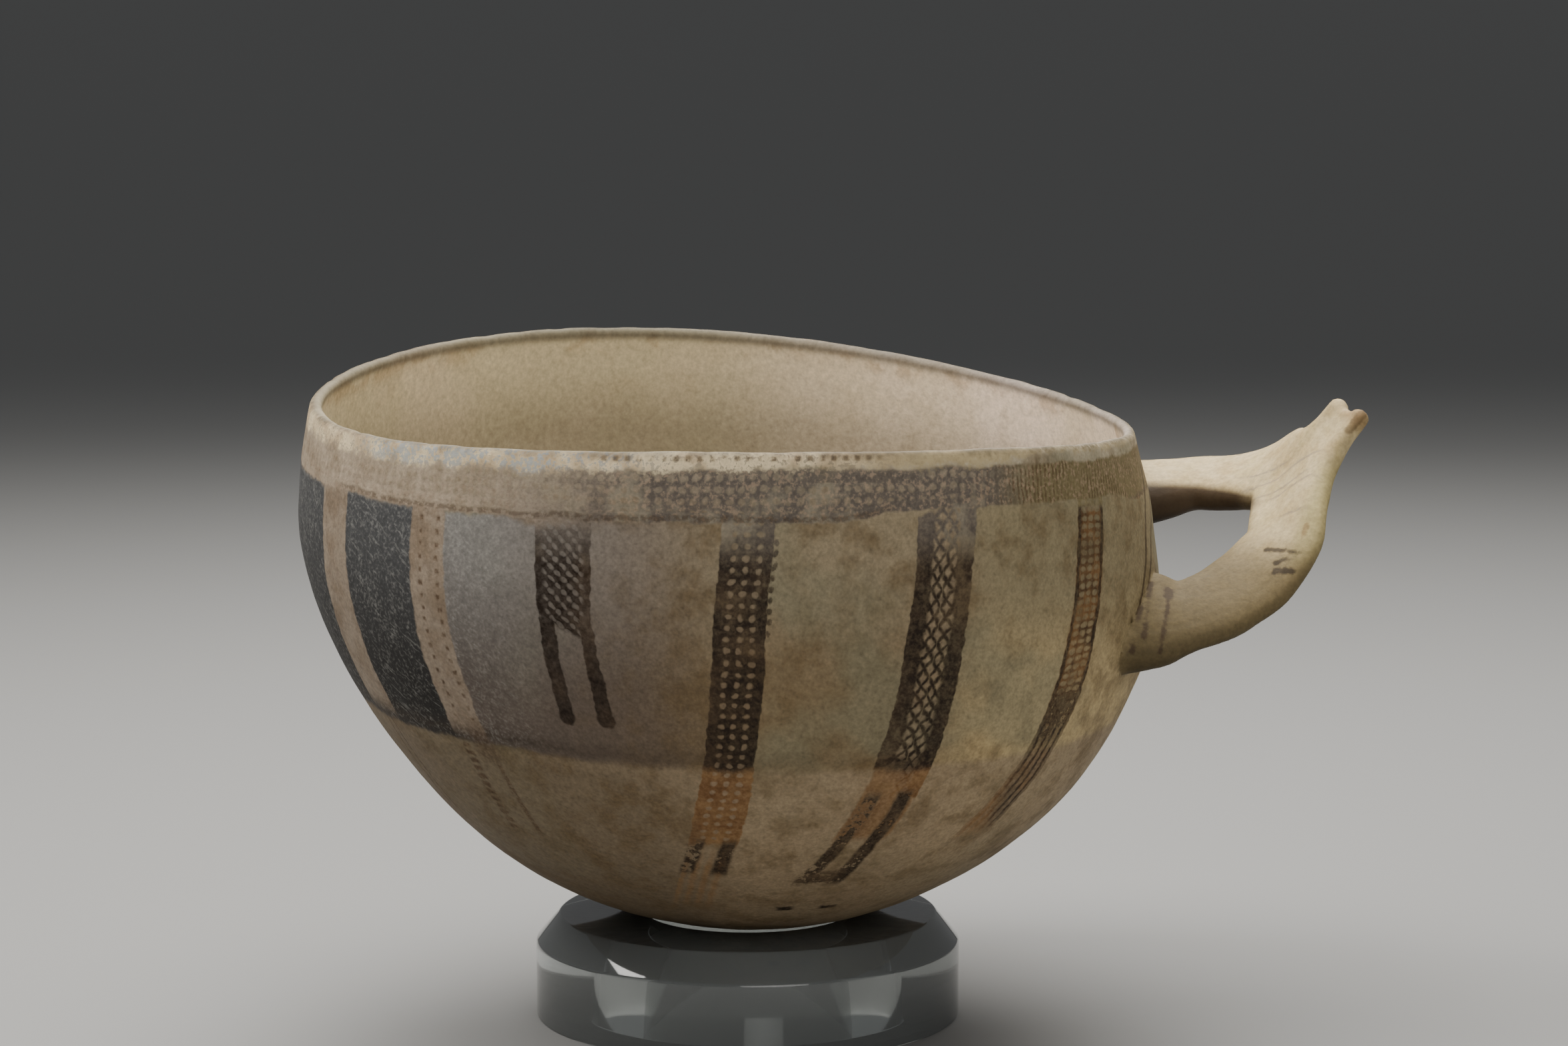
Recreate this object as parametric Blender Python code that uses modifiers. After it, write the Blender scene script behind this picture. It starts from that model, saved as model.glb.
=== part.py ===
"""A hand-built bowl of painted fired clay with a wishbone handle, standing on a clear ring.

Units are metres and +Z is up. The bowl is round-bottomed, so it leans a little in its ring: towards
its handle (+X) and towards the front (-Y). Its own shape is worked out upright, from its lowest
point at the origin, and then set in the ring.
"""

import math

import bmesh
import bpy
from mathutils import Matrix, Vector

# The ring stand: a thick acrylic ring with a wide bevel round its top
RING_RADIUS = 0.04445
RING_HEIGHT = 0.0214
RING_BORE_RADIUS = 0.0215
RING_BEVEL_WIDTH = 0.005
RING_BEVEL_HEIGHT = 0.0057
RING_EDGE_BREAK = 0.0004
RING_SEGMENTS = 64

# The bowl: a little more than half an ellipsoid, drawn in slightly at the rim
BOWL_RADIUS = 0.0881
WIDEST_HEIGHT = 0.0863
RIM_HEIGHT = 0.1102
RIM_DRAWN_IN = 0.0021
WALL_THICKNESS = 0.0039
RIM_THICKNESS = 0.0027
THINNING_HEIGHT = 0.022
BOWL_SEGMENTS = 76
OUTER_STEPS = 16
INNER_STEPS = 13
UPPER_STEPS = 4
LIP_STEPS = 4

# How far the hand-made shape is off a turned one
LEAN = 0.0028
LEAN_FROM, LEAN_TO = 0.030, 0.090
RIM_DIP_TO_HANDLE = 0.0006
RIM_DIP_AT_ENDS = 0.0025
RIM_TWIST = 0.0018
WAVE_POWER = 3
HANDLE_SWELL = 0.0028
HANDLE_SWELL_HEIGHT = 0.070
HANDLE_SWELL_SPREAD = 0.017
HANDLE_SWELL_ANGLE = 0.42
HANDLE_SWELL_FADES_UNDER = 0.060
RIM_PINCH = 0.0018
RIM_PINCH_ANGLE = 0.60
RIM_PINCH_FROM = 0.092

# How the bowl sits in the ring
TILT_TO_HANDLE = math.radians(1.84)
TILT_TO_FRONT = math.radians(2.71)
BOWL_OFFSET_X = -0.0019
SEAT_GAP = 0.0003

# The handle: two flat straps that leave the wall side by side, bend together and run up as a
# forked spur. Each station gives the point between the straps (x and height), how far each strap
# stands off it, the width and thickness of a strap, and three angles in degrees: how far the pair
# is rolled towards the front, how far its front strap runs ahead, and each strap's own twist.
HANDLE_STATIONS = (
    (0.0780, 0.0796, 0.0250, 0.0232, 0.0100, 21, 0, 8),
    (0.0880, 0.0811, 0.0263, 0.0207, 0.0078, 21, -3, 8),
    (0.0955, 0.0827, 0.0262, 0.0186, 0.0070, 21, -4, 7),
    (0.1020, 0.0845, 0.0230, 0.0186, 0.0068, 22, -5, 7),
    (0.1078, 0.0873, 0.0190, 0.0202, 0.0068, 23, -5, 8),
    (0.1130, 0.0918, 0.0135, 0.0210, 0.0066, 23, -3, 6),
    (0.1167, 0.0970, 0.0082, 0.0164, 0.0064, 24, -3, 3),
    (0.1196, 0.1020, 0.0050, 0.0100, 0.0060, 24, -2, 0),
    (0.1226, 0.1066, 0.0036, 0.0060, 0.0050, 22, 10, 0),
    (0.1258, 0.1112, 0.0032, 0.0042, 0.0038, 12, 36, 0),
)
STRAP_SIDES = 14
STRAP_ROWS = 27
STRAP_SQUARENESS = 2.6
# The back strap is thicker underneath, until it comes to the fork
BACK_STRAP_EXTRA = 0.0015
EXTRA_FADES_FROM, EXTRA_FADES_TO = 0.38, 0.62
PATH_STEP = 0.02
TIP_ROWS = 3
TIP_ROUNDING = math.radians(81)
# The clay that fills the fork, from where the straps meet to the notch at the tip
WEB_FROM = 0.505
WEB_TO = 0.965
WEB_ROWS = 12
WEB_THICKNESS = 0.92

CLAY = ("fired_clay", (0.62, 0.50, 0.33), 0.62, 0.0)
ACRYLIC = ("clear_acrylic", (0.86, 0.89, 0.88), 0.06, 0.0)


def smooth(value):
    """Rise from 0 to 1 as the value does, flat at both ends."""
    value = min(max(value, 0.0), 1.0)
    return value * value * (3 - 2 * value)


def outer_radius(height):
    """Radius of the outer wall at a height over the bowl's lowest point."""
    if height < WIDEST_HEIGHT:
        return BOWL_RADIUS * math.sqrt(max(0.0, 1 - (1 - height / WIDEST_HEIGHT) ** 2))
    above = (height - WIDEST_HEIGHT) / (RIM_HEIGHT - WIDEST_HEIGHT)
    return BOWL_RADIUS - RIM_DRAWN_IN * above * above


def inner_wall(cut_in):
    """Half section of the inside, up from the axis, cut a share of the way into the wall."""
    top = RIM_HEIGHT - RIM_THICKNESS / 2
    points = []
    for step in range(INNER_STEPS):
        angle = 0.5 * math.pi * step / INNER_STEPS
        wall = WALL_THICKNESS * (1 - cut_in)
        points.append((
            (BOWL_RADIUS - wall) * math.sin(angle),
            WIDEST_HEIGHT - (WIDEST_HEIGHT - wall) * math.cos(angle),
        ))
    for step in range(UPPER_STEPS):
        height = WIDEST_HEIGHT + (top - WIDEST_HEIGHT) * step / UPPER_STEPS
        thinned = smooth((height - (top - THINNING_HEIGHT)) / THINNING_HEIGHT)
        wall = WALL_THICKNESS + (RIM_THICKNESS - WALL_THICKNESS) * thinned
        points.append((outer_radius(height) - wall * (1 - cut_in), height))
    return points


def bowl_profile():
    """Half section of the bowl: up the inside from the axis, over the lip and down the outside."""
    lip = RIM_THICKNESS / 2
    top = RIM_HEIGHT - lip
    lip_radius = outer_radius(top) - lip
    over = []
    for step in range(LIP_STEPS + 1):
        angle = math.pi * (1 - step / LIP_STEPS)
        over.append((lip_radius + lip * math.cos(angle), top + lip * math.sin(angle)))
    outer = []
    for step in range(1, UPPER_STEPS + 1):
        height = top - (top - WIDEST_HEIGHT) * step / UPPER_STEPS
        outer.append((outer_radius(height), height))
    for step in range(1, OUTER_STEPS + 1):
        angle = 0.5 * math.pi * (1 - step / OUTER_STEPS)
        outer.append((BOWL_RADIUS * math.sin(angle), WIDEST_HEIGHT * (1 - math.cos(angle))))
    return inner_wall(0) + over + outer


def core_profile():
    """Half section that fills the bowl to halfway into its wall, down the outside from the top."""
    side = inner_wall(0.5)[::-1]
    over_rim = RIM_HEIGHT + BOWL_RADIUS
    return [(0, over_rim), (side[0][0], over_rim)] + side


def ring_profile():
    """Section of the ring, clockwise from the top of its bore, so that it runs down outside."""
    edge = RING_EDGE_BREAK
    land = RING_RADIUS - RING_BEVEL_WIDTH
    return [
        (RING_BORE_RADIUS, RING_HEIGHT - edge),
        (RING_BORE_RADIUS + edge, RING_HEIGHT),
        (land, RING_HEIGHT),
        (RING_RADIUS, RING_HEIGHT - RING_BEVEL_HEIGHT),
        (RING_RADIUS, edge),
        (RING_RADIUS - edge, 0.0),
        (RING_BORE_RADIUS + edge, 0.0),
        (RING_BORE_RADIUS, edge),
    ]


def by_hand(point):
    """Move a point of the turned bowl to where the potter's hands left it."""
    angle = math.atan2(point.y, point.x)
    radius = math.hypot(point.x, point.y)
    share = point.z / RIM_HEIGHT
    raised = -RIM_DIP_TO_HANDLE * math.cos(angle)
    raised -= RIM_DIP_AT_ENDS * math.cos(2 * angle)
    raised -= RIM_TWIST * math.sin(2 * angle)
    swell = math.exp(-(((point.z - HANDLE_SWELL_HEIGHT) / HANDLE_SWELL_SPREAD) ** 2))
    fading = smooth(radius / HANDLE_SWELL_FADES_UNDER)
    radius += HANDLE_SWELL * swell * math.exp(-((angle / HANDLE_SWELL_ANGLE) ** 2)) * fading
    pinched = smooth((point.z - RIM_PINCH_FROM) / (RIM_HEIGHT - RIM_PINCH_FROM))
    radius -= RIM_PINCH * pinched * math.exp(-((angle / RIM_PINCH_ANGLE) ** 2))
    lean = LEAN * (1 - 2 * smooth((point.z - LEAN_FROM) / (LEAN_TO - LEAN_FROM)))
    return Vector((
        radius * math.cos(angle) + lean,
        radius * math.sin(angle),
        point.z + raised * share ** WAVE_POWER,
    ))


def between(stations, share):
    """A station at a share of the way along, on a smooth curve through all of them."""
    place = share * (len(stations) - 1)
    at = min(max(int(place), 0), len(stations) - 2)
    t = place - at
    before = stations[max(at - 1, 0)]
    after = stations[min(at + 2, len(stations) - 1)]
    mixed = []
    for a, b, c, d in zip(before, stations[at], stations[at + 1], after):
        mixed.append(b + 0.5 * t * (c - a + t * (2 * a - 5 * b + 4 * c - d + t * (3 * (b - c) + d - a))))
    return mixed


def strap_centre(side, share):
    """The middle of one strap's section: side is 1 for the back strap and -1 for the front one."""
    x, z, apart, _, _, roll, lead, _ = between(HANDLE_STATIONS, share)
    across = Matrix.Rotation(math.radians(lead), 3, "Z") @ Matrix.Rotation(math.radians(roll), 3, "X")
    return Vector((x, 0, z)) + across @ Vector((0, apart * side, 0)), across


def oval(centre, wide, deep, width, thickness):
    """Points round a squarish oval, width along one direction and thickness along the other."""
    points = []
    for corner in range(STRAP_SIDES):
        angle = 2 * math.pi * corner / STRAP_SIDES
        c, s = math.cos(angle), math.sin(angle)
        reach = (abs(c) ** STRAP_SQUARENESS + abs(s) ** STRAP_SQUARENESS) ** (-1 / STRAP_SQUARENESS) / 2
        points.append(centre + wide * (c * reach * width) + deep * (s * reach * thickness))
    return points


def strap_sections(side):
    """The rows of points round one strap, from inside the wall to the tip of its prong."""
    rows = []
    for row in range(STRAP_ROWS + TIP_ROWS + 1):
        share = min(row / STRAP_ROWS, 1.0)
        width, thickness, _, _, twist = between(HANDLE_STATIONS, share)[3:]
        centre, across = strap_centre(side, share)
        path = strap_centre(side, min(share + PATH_STEP, 1.0))[0] - strap_centre(side, share - PATH_STEP)[0]
        path.normalize()
        normal = path.cross(across @ Vector((0, 1, 0)))
        normal = Matrix.Rotation(math.radians(-twist * side), 3, path) @ normal
        wide = normal.cross(path).normalized()
        deep = path.cross(wide).normalized()
        if side > 0:
            fading = smooth((share - EXTRA_FADES_FROM) / (EXTRA_FADES_TO - EXTRA_FADES_FROM))
            extra = BACK_STRAP_EXTRA * (1 - fading)
            thickness += extra
            centre -= deep * (extra / 2)
        rounding = TIP_ROUNDING * max(row - STRAP_ROWS, 0) / TIP_ROWS
        left = math.cos(rounding)
        centre += path * (math.sin(rounding) * thickness / 2)
        rows.append(oval(centre, wide, deep, width * left, thickness * left))
    return rows


def web_sections():
    """The rows of points round the plate between the straps, blunt at both ends."""
    rows = []
    for row in range(-TIP_ROWS, WEB_ROWS + TIP_ROWS + 1):
        share = WEB_FROM + (WEB_TO - WEB_FROM) * min(max(row / WEB_ROWS, 0.0), 1.0)
        thickness = between(HANDLE_STATIONS, share)[4] * WEB_THICKNESS
        back, front = strap_centre(1, share)[0], strap_centre(-1, share)[0]
        after = strap_centre(1, share + PATH_STEP)[0] + strap_centre(-1, share + PATH_STEP)[0]
        path = (after - back - front).normalized()
        wide = (back - front).normalized()
        deep = path.cross(wide).normalized()
        rounding = TIP_ROUNDING * max(-row, row - WEB_ROWS, 0) / TIP_ROWS
        outward = -1 if row < 0 else 1
        centre = (back + front) / 2 + path * (outward * math.sin(rounding) * thickness / 2)
        rows.append(oval(centre, wide, deep, (back - front).length, thickness * math.cos(rounding)))
    return rows


def loft(name, rows):
    """A closed mesh object over rows of points of equal length."""
    shape = bmesh.new()
    rings = []
    for points in rows:
        ring = [shape.verts.new(point) for point in points]
        rings.append([shape.edges.new((a, b)) for a, b in zip(ring, ring[1:] + ring[:1])])
    for near, far in zip(rings, rings[1:]):
        bmesh.ops.bridge_loops(shape, edges=near + far)
    bmesh.ops.holes_fill(shape, edges=shape.edges[:], sides=STRAP_SIDES)
    bmesh.ops.recalc_face_normals(shape, faces=shape.faces[:])
    mesh = bpy.data.meshes.new(name)
    shape.to_mesh(mesh)
    shape.free()
    return bpy.data.objects.new(name, mesh)


def turned(name, profile, closed, segments):
    """A mesh object turned round Z from a half section."""
    guide = bpy.data.meshes.new(name)
    edges = [(i, i + 1) for i in range(len(profile) - 1)]
    if closed:
        edges.append((len(profile) - 1, 0))
    guide.from_pydata([(radius, 0, height) for radius, height in profile], edges, [])
    item = bpy.data.objects.new(name, guide)
    turn = item.modifiers.new("turn", "SCREW")
    turn.steps = turn.render_steps = segments
    turn.use_merge_vertices = True
    turn.merge_threshold = 0.00001
    return item


def material(name, colour, roughness, metallic):
    """A plain material with the piece's colour."""
    made = bpy.data.materials.new(name)
    made.use_nodes = True
    shader = made.node_tree.nodes["Principled BSDF"]
    shader.inputs["Base Color"].default_value = (*colour, 1)
    shader.inputs["Roughness"].default_value = roughness
    shader.inputs["Metallic"].default_value = metallic
    return made


def collection(name):
    """A new collection in the scene."""
    made = bpy.data.collections.new(name)
    bpy.context.scene.collection.children.link(made)
    return made


def made_mesh(item):
    """The mesh that an object's modifiers make, with the modifiers taken off."""
    bpy.context.view_layer.update()
    evaluated = item.evaluated_get(bpy.context.evaluated_depsgraph_get())
    mesh = bpy.data.meshes.new_from_object(evaluated)
    item.modifiers.clear()
    item.data = mesh
    return mesh


def make_ring(parts):
    """The clear ring stand, on the ground round the Z axis."""
    ring = turned("ring_stand", ring_profile(), True, RING_SEGMENTS)
    parts.objects.link(ring)
    made_mesh(ring).materials.append(material(*ACRYLIC))
    return ring


def add_boolean(item, operation, other):
    """Cut another object from an item, or join it on, and keep the other as a helper."""
    boolean = item.modifiers.new(other.name, "BOOLEAN")
    boolean.operation = operation
    boolean.object = other
    boolean.solver = "EXACT"
    other.hide_render = True
    other.display_type = "WIRE"


def make_bowl(parts, helpers):
    """The bowl with its handle, one solid, upright with its lowest point at the origin."""
    bowl = turned("wishbone_handle_bowl", bowl_profile(), False, BOWL_SEGMENTS)
    core = turned("core", core_profile(), False, BOWL_SEGMENTS)
    parts.objects.link(bowl)
    helpers.objects.link(core)
    for item in (bowl, core):
        for vertex in made_mesh(item).vertices:
            vertex.co = by_hand(vertex.co)
    for name, side in (("back_strap", 1), ("front_strap", -1)):
        strap = loft(name, strap_sections(side))
        helpers.objects.link(strap)
        add_boolean(strap, "DIFFERENCE", core)
        add_boolean(bowl, "UNION", strap)
    web = loft("web", web_sections())
    helpers.objects.link(web)
    add_boolean(bowl, "UNION", web)
    made_mesh(bowl).materials.append(material(*CLAY))
    bowl.data.shade_smooth()
    bowl.data.set_sharp_from_angle(angle=math.radians(50))
    return bowl


def seat(bowl):
    """Lean the bowl and let it down until it is a small gap above the edge of the ring's bore."""
    centre = Matrix.Translation((0, 0, WIDEST_HEIGHT))
    leaned = (
        Matrix.Translation((BOWL_OFFSET_X, 0, 0))
        @ centre
        @ Matrix.Rotation(TILT_TO_FRONT, 4, "X")
        @ Matrix.Rotation(TILT_TO_HANDLE, 4, "Y")
        @ centre.inverted()
    )
    upward = leaned.inverted().to_3x3() @ Vector((0, 0, 1))
    edge = RING_BORE_RADIUS + RING_EDGE_BREAK
    lowest = math.inf
    for step in range(RING_SEGMENTS):
        angle = 2 * math.pi * step / RING_SEGMENTS
        below = Vector((edge * math.cos(angle), edge * math.sin(angle), -BOWL_RADIUS))
        hit = bowl.ray_cast(leaned.inverted() @ below, upward)[1]
        lowest = min(lowest, (leaned @ hit).z)
    bowl.matrix_world = Matrix.Translation((0, 0, RING_HEIGHT + SEAT_GAP - lowest)) @ leaned


def centre_on_origin(items):
    """Move everything in plan so that the origin is under the middle of the whole."""
    bpy.context.view_layer.update()
    corners = [item.matrix_world @ vertex.co for item in items for vertex in item.data.vertices]
    middle = Vector((
        (min(c.x for c in corners) + max(c.x for c in corners)) / 2,
        (min(c.y for c in corners) + max(c.y for c in corners)) / 2,
        0,
    ))
    for item in items:
        item.matrix_world = Matrix.Translation(-middle) @ item.matrix_world


def build():
    """Clear the scene and make the two pieces."""
    for item in list(bpy.data.objects):
        bpy.data.objects.remove(item)
    parts = collection("wishbone_handle_bowl")
    helpers = collection("helpers")
    ring = make_ring(parts)
    bowl = make_bowl(parts, helpers)
    seat(bowl)
    centre_on_origin([bowl, ring])


build()
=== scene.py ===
"""A hand-built bowl of cream-slipped clay with painted lattice bands and a wishbone handle.

It leans a little in a clear acrylic ring. Lengths are metres, and the pattern on the clay is worked
out in millimetres over the wall.
"""

import math

import bmesh
import bpy
from mathutils import Matrix, Vector, kdtree, noise


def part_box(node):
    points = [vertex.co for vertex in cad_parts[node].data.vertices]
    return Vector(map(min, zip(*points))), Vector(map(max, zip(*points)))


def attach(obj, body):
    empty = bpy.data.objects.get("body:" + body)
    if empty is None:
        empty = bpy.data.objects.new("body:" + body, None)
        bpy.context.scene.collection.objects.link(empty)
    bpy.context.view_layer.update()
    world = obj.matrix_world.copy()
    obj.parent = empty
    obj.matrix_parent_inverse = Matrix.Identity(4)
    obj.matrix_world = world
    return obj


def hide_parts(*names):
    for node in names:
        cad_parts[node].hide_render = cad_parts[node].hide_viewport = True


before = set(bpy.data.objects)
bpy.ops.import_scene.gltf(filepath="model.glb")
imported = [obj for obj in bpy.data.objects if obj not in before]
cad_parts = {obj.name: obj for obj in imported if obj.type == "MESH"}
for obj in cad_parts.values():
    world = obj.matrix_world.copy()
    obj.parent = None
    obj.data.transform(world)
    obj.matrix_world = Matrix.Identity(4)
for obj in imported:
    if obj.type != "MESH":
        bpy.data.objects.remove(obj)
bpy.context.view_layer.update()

# The wall of the bowl
# A little more than half a sphere of coiled and scraped clay, thin and round-bottomed. It was made
# without a wheel, so it leans, its rim rises and dips, and it swells where the handle was pressed on.
BOWL_RADIUS = 0.0881
WIDEST_HEIGHT = 0.0863
RIM_HEIGHT = 0.1102
RIM_DRAWN_IN = 0.0021
WALL_THICKNESS = 0.0039
RIM_THICKNESS = 0.0027
THINNING_HEIGHT = 0.022
WALL_SEGMENTS = 360
OUTER_STEPS = 78
INNER_STEPS = 56
UPPER_STEPS = 17
LIP_STEPS = 8
LEAN = 0.0028
LEAN_FROM, LEAN_TO = 0.030, 0.090
RIM_DIP_TO_HANDLE = 0.0006
RIM_DIP_AT_ENDS = 0.0025
RIM_TWIST = 0.0018
WAVE_POWER = 3
HANDLE_SWELL = 0.0028
HANDLE_SWELL_HEIGHT = 0.070
HANDLE_SWELL_SPREAD = 0.017
HANDLE_SWELL_ANGLE = 0.42
HANDLE_SWELL_FADES_UNDER = 0.060
RIM_PINCH = 0.0018
RIM_PINCH_ANGLE = 0.60
RIM_PINCH_FROM = 0.092


def smooth(value):
    """Rise from 0 to 1 as the value does, flat at both ends."""
    value = min(max(value, 0.0), 1.0)
    return value * value * (3 - 2 * value)


def outer_radius(height):
    """Radius of the outer wall at a height over the bowl's lowest point."""
    if height < WIDEST_HEIGHT:
        return BOWL_RADIUS * math.sqrt(max(0.0, 1 - (1 - height / WIDEST_HEIGHT) ** 2))
    above = (height - WIDEST_HEIGHT) / (RIM_HEIGHT - WIDEST_HEIGHT)
    return BOWL_RADIUS - RIM_DRAWN_IN * above * above


def inner_section(cut_in, steps, upper_steps):
    """Half section of the inside, up from the axis, cut a share of the way into the wall."""
    top = RIM_HEIGHT - RIM_THICKNESS / 2
    points = []
    for step in range(steps):
        angle = 0.5 * math.pi * step / steps
        wall = WALL_THICKNESS * (1 - cut_in)
        points.append((
            (BOWL_RADIUS - wall) * math.sin(angle),
            WIDEST_HEIGHT - (WIDEST_HEIGHT - wall) * math.cos(angle),
        ))
    for step in range(upper_steps):
        height = WIDEST_HEIGHT + (top - WIDEST_HEIGHT) * step / upper_steps
        thinned = smooth((height - (top - THINNING_HEIGHT)) / THINNING_HEIGHT)
        wall = WALL_THICKNESS + (RIM_THICKNESS - WALL_THICKNESS) * thinned
        points.append((outer_radius(height) - wall * (1 - cut_in), height))
    return points


def wall_section():
    """Half section of the wall: up the inside, over the rounded lip and down the outside."""
    lip = RIM_THICKNESS / 2
    top = RIM_HEIGHT - lip
    points = inner_section(0, INNER_STEPS, UPPER_STEPS)
    for step in range(LIP_STEPS + 1):
        angle = math.pi * (1 - step / LIP_STEPS)
        points.append((outer_radius(top) - lip + lip * math.cos(angle), top + lip * math.sin(angle)))
    for step in range(1, UPPER_STEPS + 1):
        height = top - (top - WIDEST_HEIGHT) * step / UPPER_STEPS
        points.append((outer_radius(height), height))
    for step in range(1, OUTER_STEPS + 1):
        angle = 0.5 * math.pi * (1 - step / OUTER_STEPS)
        points.append((BOWL_RADIUS * math.sin(angle), WIDEST_HEIGHT * (1 - math.cos(angle))))
    return points


def by_hand(point):
    """Move a point of the round bowl to where the potter's hands left it."""
    angle = math.atan2(point.y, point.x)
    radius = math.hypot(point.x, point.y)
    share = point.z / RIM_HEIGHT
    raised = -RIM_DIP_TO_HANDLE * math.cos(angle)
    raised -= RIM_DIP_AT_ENDS * math.cos(2 * angle)
    raised -= RIM_TWIST * math.sin(2 * angle)
    swell = math.exp(-(((point.z - HANDLE_SWELL_HEIGHT) / HANDLE_SWELL_SPREAD) ** 2))
    fading = smooth(radius / HANDLE_SWELL_FADES_UNDER)
    radius += HANDLE_SWELL * swell * math.exp(-((angle / HANDLE_SWELL_ANGLE) ** 2)) * fading
    pinched = smooth((point.z - RIM_PINCH_FROM) / (RIM_HEIGHT - RIM_PINCH_FROM))
    radius -= RIM_PINCH * pinched * math.exp(-((angle / RIM_PINCH_ANGLE) ** 2))
    lean = LEAN * (1 - 2 * smooth((point.z - LEAN_FROM) / (LEAN_TO - LEAN_FROM)))
    return Vector((
        radius * math.cos(angle) + lean,
        radius * math.sin(angle),
        point.z + raised * share ** WAVE_POWER,
    ))


def spun(points, closed, segments):
    """A bmesh spun round Z from the points of a half section."""
    shape = bmesh.new()
    section = [shape.verts.new((radius, 0, height)) for radius, height in points]
    edges = [shape.edges.new(pair) for pair in zip(section, section[1:])]
    if closed:
        edges.append(shape.edges.new((section[-1], section[0])))
    bmesh.ops.spin(
        shape, geom=section + edges, cent=(0, 0, 0), axis=(0, 0, 1), dvec=(0, 0, 0),
        angle=2 * math.pi, steps=segments, use_merge=True, use_duplicate=False,
    )
    bmesh.ops.remove_doubles(shape, verts=shape.verts, dist=1e-6)
    bmesh.ops.recalc_face_normals(shape, faces=shape.faces)
    return shape


def new_object(name, shape):
    """An object in the scene with the bmesh's mesh."""
    mesh = bpy.data.meshes.new(name)
    shape.to_mesh(mesh)
    shape.free()
    item = bpy.data.objects.new(name, mesh)
    bpy.context.scene.collection.objects.link(item)
    return item


def apply_modifiers(item):
    """Give an object the mesh that its modifiers make, without the modifiers."""
    bpy.context.view_layer.update()
    evaluated = item.evaluated_get(bpy.context.evaluated_depsgraph_get())
    item.data = bpy.data.meshes.new_from_object(evaluated)
    item.modifiers.clear()


wall_shape = spun(wall_section(), False, WALL_SEGMENTS)
wall_places = [(by_hand(vertex.co), vertex.co.copy()) for vertex in wall_shape.verts]
wall_tree = kdtree.KDTree(len(wall_places))
for vertex, (place, turned_place) in zip(wall_shape.verts, wall_places):
    vertex.co = place
    wall_tree.insert(place, vertex.index)
wall_tree.balance()
wall = new_object("wall", wall_shape)

# The handle
# Two flat straps of clay, pressed on side by side under the rim, that bend together into a notched
# spur like a wishbone. The fork is filled and smoothed over, and the roots are worked into the wall.

# A station's x and z between the straps, how far each strap stands off that point, a strap's width
# and thickness, and in degrees the pair's roll, the front strap's lead and each strap's twist.
HANDLE_STATIONS = (
    (0.0780, 0.0796, 0.0250, 0.0232, 0.0100, 21, 0, 8),
    (0.0880, 0.0811, 0.0263, 0.0207, 0.0078, 21, -3, 8),
    (0.0955, 0.0827, 0.0262, 0.0186, 0.0070, 21, -4, 7),
    (0.1020, 0.0845, 0.0230, 0.0186, 0.0068, 22, -5, 7),
    (0.1078, 0.0873, 0.0190, 0.0202, 0.0068, 23, -5, 8),
    (0.1130, 0.0918, 0.0135, 0.0214, 0.0066, 23, -3, 6),
    (0.1167, 0.0970, 0.0082, 0.0164, 0.0064, 24, -3, 3),
    (0.1196, 0.1020, 0.0050, 0.0096, 0.0058, 24, 2, 0),
    (0.1226, 0.1066, 0.0036, 0.0056, 0.0048, 22, 14, 0),
    (0.1258, 0.1112, 0.0032, 0.0042, 0.0038, 12, 36, 0),
)
STRAP_SIDES = 24
STRAP_ROWS = 60
STRAP_SQUARENESS = 2.6
BACK_STRAP_EXTRA = 0.0015
EXTRA_FADES_FROM, EXTRA_FADES_TO = 0.38, 0.62
PATH_STEP = 0.02
TIP_ROWS = 5
TIP_ROUNDING = math.radians(84)
WEB_FROM, WEB_TO = 0.505, 0.965
WEB_ROWS = 24
WEB_SLANT = 0.05
WEB_THICKNESS = 0.96
FRONT_ROOT_FLARE, BACK_ROOT_FLARE = 0.0030, 0.0006
ROOT_FLARE_FROM, ROOT_FLARE_TO = 0.10, 0.20
FRONT_STRAP_EXTRA = 0.0012
FRONT_EXTRA_FROM, FRONT_EXTRA_TO = 0.40, 0.62
HANDLE_VOXEL = 0.00062
HANDLE_SMOOTHINGS = 12
CORE_SEGMENTS = 120
ROOT_RINGS = (6, 5, 4, 3, 2, 2)


def between(stations, share):
    """A station at a share of the way along, on a smooth curve through all of them."""
    place = share * (len(stations) - 1)
    at = min(max(int(place), 0), len(stations) - 2)
    t = place - at
    before = stations[max(at - 1, 0)]
    after = stations[min(at + 2, len(stations) - 1)]
    mixed = []
    for a, b, c, d in zip(before, stations[at], stations[at + 1], after):
        mixed.append(b + 0.5 * t * (c - a + t * (2 * a - 5 * b + 4 * c - d + t * (3 * (b - c) + d - a))))
    return mixed


def strap_centre(side, share):
    """The middle of one strap's section: side is 1 for the back strap and -1 for the front one."""
    x, z, apart, _, _, roll, lead, _ = between(HANDLE_STATIONS, share)
    across = Matrix.Rotation(math.radians(lead), 3, "Z") @ Matrix.Rotation(math.radians(roll), 3, "X")
    return Vector((x, 0, z)) + across @ Vector((0, apart * side, 0)), across


def oval(centre, wide, deep, width, thickness):
    """Points round a squarish oval, width along one direction and thickness along the other."""
    points = []
    for corner in range(STRAP_SIDES):
        angle = 2 * math.pi * corner / STRAP_SIDES
        c, s = math.cos(angle), math.sin(angle)
        reach = (abs(c) ** STRAP_SQUARENESS + abs(s) ** STRAP_SQUARENESS) ** (-1 / STRAP_SQUARENESS) / 2
        points.append(centre + wide * (c * reach * width) + deep * (s * reach * thickness))
    return points


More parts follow.
